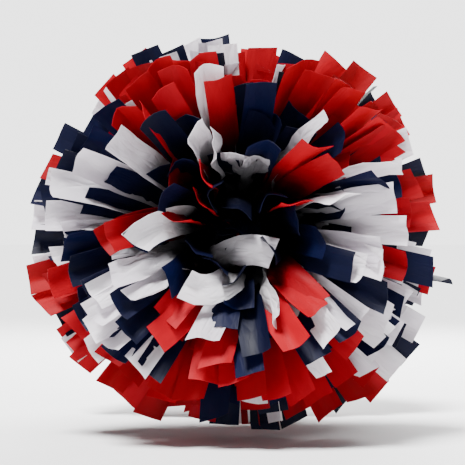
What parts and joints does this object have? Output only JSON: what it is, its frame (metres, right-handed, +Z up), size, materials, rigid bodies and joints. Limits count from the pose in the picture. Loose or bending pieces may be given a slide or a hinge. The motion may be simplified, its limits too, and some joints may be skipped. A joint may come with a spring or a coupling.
{
  "type": "cheer pom pom",
  "caption": "Ball of red, white and navy plastic film strips in two halves, tied on the ends of a short baton handle that the hand closes round.",
  "frame": {"origin": "middle of the hand grip, on the baton's axis", "axes": "+Y runs along the baton from the front ball half to the rear one, +Z is up, and +X is to the right of a viewer who faces the front end"},
  "size_m": [0.28, 0.366, 0.275],
  "materials": {
    "baton_plastic": "moulded, fine matt grain",
    "foam": "closed-cell foam, matt",
    "film_red": "thin translucent film, satin, creased",
    "film_white": "thin translucent film, satin, creased",
    "film_navy": "thin film, satin, creased",
    "tape": "cloth tape, matt",
    "tie_nylon": "natural nylon",
    "screw_steel": "zinc plated"
  },
  "bodies": {
    "baton": {"baton_core": "baton_plastic", "foam_grip": "foam", "front_navy_sheet": "film_navy", "front_white_sheet": "film_white", "front_red_sheet": "film_red", "front_tape_wrap": "tape", "front_cable_tie": "tie_nylon", "front_end_cap": "baton_plastic", "front_cap_screw": "screw_steel", "rear_navy_sheet": "film_navy", "rear_white_sheet": "film_white", "rear_red_sheet": "film_red", "rear_tape_wrap": "tape", "rear_cable_tie": "tie_nylon", "rear_end_cap": "baton_plastic", "rear_cap_screw": "screw_steel"},
    "front_crown": {"front_crown_tuft": "film_navy"},
    "front_tuft_right": {"front_tuft_right_inner": "film_navy", "front_tuft_right_outer": "film_white"},
    "front_tuft_up_right": {"front_tuft_up_right_inner": "film_red", "front_tuft_up_right_outer": "film_red"},
    "front_tuft_up": {"front_tuft_up_inner": "film_navy", "front_tuft_up_outer": "film_red"},
    "front_tuft_up_left": {"front_tuft_up_left_inner": "film_red", "front_tuft_up_left_outer": "film_navy"},
    "front_tuft_left": {"front_tuft_left_inner": "film_white", "front_tuft_left_outer": "film_white"},
    "front_tuft_down_left": {"front_tuft_down_left_inner": "film_white", "front_tuft_down_left_outer": "film_red"},
    "front_tuft_down": {"front_tuft_down_inner": "film_red", "front_tuft_down_outer": "film_navy"},
    "front_tuft_down_right": {"front_tuft_down_right_inner": "film_red", "front_tuft_down_right_outer": "film_white"},
    "rear_crown": {"rear_crown_tuft": "film_navy"},
    "rear_tuft_right": {"rear_tuft_right_inner": "film_red", "rear_tuft_right_outer": "film_navy"},
    "rear_tuft_up_right": {"rear_tuft_up_right_inner": "film_white", "rear_tuft_up_right_outer": "film_red"},
    "rear_tuft_up": {"rear_tuft_up_inner": "film_red", "rear_tuft_up_outer": "film_white"},
    "rear_tuft_up_left": {"rear_tuft_up_left_inner": "film_navy", "rear_tuft_up_left_outer": "film_red"},
    "rear_tuft_left": {"rear_tuft_left_inner": "film_red", "rear_tuft_left_outer": "film_navy"},
    "rear_tuft_down_left": {"rear_tuft_down_left_inner": "film_white", "rear_tuft_down_left_outer": "film_white"},
    "rear_tuft_down": {"rear_tuft_down_inner": "film_navy", "rear_tuft_down_outer": "film_red"},
    "rear_tuft_down_right": {"rear_tuft_down_right_inner": "film_white", "rear_tuft_down_right_outer": "film_red"}
  },
  "joints": [
    {"name": "front_crown_nod", "type": "hinge", "parent": "baton", "child": "front_crown", "pos_m": [0, -0.063, 0], "axis": [1, 0, 0], "range_deg": [-6, 6], "stiffness_Nm_per_rad": 1},
    {"name": "front_tuft_right_sway", "type": "hinge", "parent": "baton", "child": "front_tuft_right", "pos_m": [0, -0.063, 0], "axis": [0, 0, 1], "range_deg": [-6, 6], "stiffness_Nm_per_rad": 1},
    {"name": "front_tuft_up_right_sway", "type": "hinge", "parent": "baton", "child": "front_tuft_up_right", "pos_m": [0, -0.063, 0], "axis": [-0.7071, 0, 0.7071], "range_deg": [-6, 6], "stiffness_Nm_per_rad": 1},
    {"name": "front_tuft_up_sway", "type": "hinge", "parent": "baton", "child": "front_tuft_up", "pos_m": [0, -0.063, 0], "axis": [-1, 0, 0], "range_deg": [-6, 6], "stiffness_Nm_per_rad": 1},
    {"name": "front_tuft_up_left_sway", "type": "hinge", "parent": "baton", "child": "front_tuft_up_left", "pos_m": [0, -0.063, 0], "axis": [-0.7071, 0, -0.7071], "range_deg": [-6, 6], "stiffness_Nm_per_rad": 1},
    {"name": "front_tuft_left_sway", "type": "hinge", "parent": "baton", "child": "front_tuft_left", "pos_m": [0, -0.063, 0], "axis": [0, 0, -1], "range_deg": [-6, 6], "stiffness_Nm_per_rad": 1},
    {"name": "front_tuft_down_left_sway", "type": "hinge", "parent": "baton", "child": "front_tuft_down_left", "pos_m": [0, -0.063, 0], "axis": [0.7071, 0, -0.7071], "range_deg": [-6, 6], "stiffness_Nm_per_rad": 1},
    {"name": "front_tuft_down_sway", "type": "hinge", "parent": "baton", "child": "front_tuft_down", "pos_m": [0, -0.063, 0], "axis": [1, 0, 0], "range_deg": [-6, 6], "stiffness_Nm_per_rad": 1},
    {"name": "front_tuft_down_right_sway", "type": "hinge", "parent": "baton", "child": "front_tuft_down_right", "pos_m": [0, -0.063, 0], "axis": [0.7071, 0, 0.7071], "range_deg": [-6, 6], "stiffness_Nm_per_rad": 1},
    {"name": "rear_crown_nod", "type": "hinge", "parent": "baton", "child": "rear_crown", "pos_m": [0, 0.063, 0], "axis": [1, 0, 0], "range_deg": [-6, 6], "stiffness_Nm_per_rad": 1},
    {"name": "rear_tuft_right_sway", "type": "hinge", "parent": "baton", "child": "rear_tuft_right", "pos_m": [0, 0.063, 0], "axis": [0, 0, -1], "range_deg": [-6, 6], "stiffness_Nm_per_rad": 1},
    {"name": "rear_tuft_up_right_sway", "type": "hinge", "parent": "baton", "child": "rear_tuft_up_right", "pos_m": [0, 0.063, 0], "axis": [0.7071, 0, -0.7071], "range_deg": [-6, 6], "stiffness_Nm_per_rad": 1},
    {"name": "rear_tuft_up_sway", "type": "hinge", "parent": "baton", "child": "rear_tuft_up", "pos_m": [0, 0.063, 0], "axis": [1, 0, 0], "range_deg": [-6, 6], "stiffness_Nm_per_rad": 1},
    {"name": "rear_tuft_up_left_sway", "type": "hinge", "parent": "baton", "child": "rear_tuft_up_left", "pos_m": [0, 0.063, 0], "axis": [0.7071, 0, 0.7071], "range_deg": [-6, 6], "stiffness_Nm_per_rad": 1},
    {"name": "rear_tuft_left_sway", "type": "hinge", "parent": "baton", "child": "rear_tuft_left", "pos_m": [0, 0.063, 0], "axis": [0, 0, 1], "range_deg": [-6, 6], "stiffness_Nm_per_rad": 1},
    {"name": "rear_tuft_down_left_sway", "type": "hinge", "parent": "baton", "child": "rear_tuft_down_left", "pos_m": [0, 0.063, 0], "axis": [-0.7071, 0, 0.7071], "range_deg": [-6, 6], "stiffness_Nm_per_rad": 1},
    {"name": "rear_tuft_down_sway", "type": "hinge", "parent": "baton", "child": "rear_tuft_down", "pos_m": [0, 0.063, 0], "axis": [-1, 0, 0], "range_deg": [-6, 6], "stiffness_Nm_per_rad": 1},
    {"name": "rear_tuft_down_right_sway", "type": "hinge", "parent": "baton", "child": "rear_tuft_down_right", "pos_m": [0, 0.063, 0], "axis": [-0.7071, 0, -0.7071], "range_deg": [-6, 6], "stiffness_Nm_per_rad": 1}
  ]
}
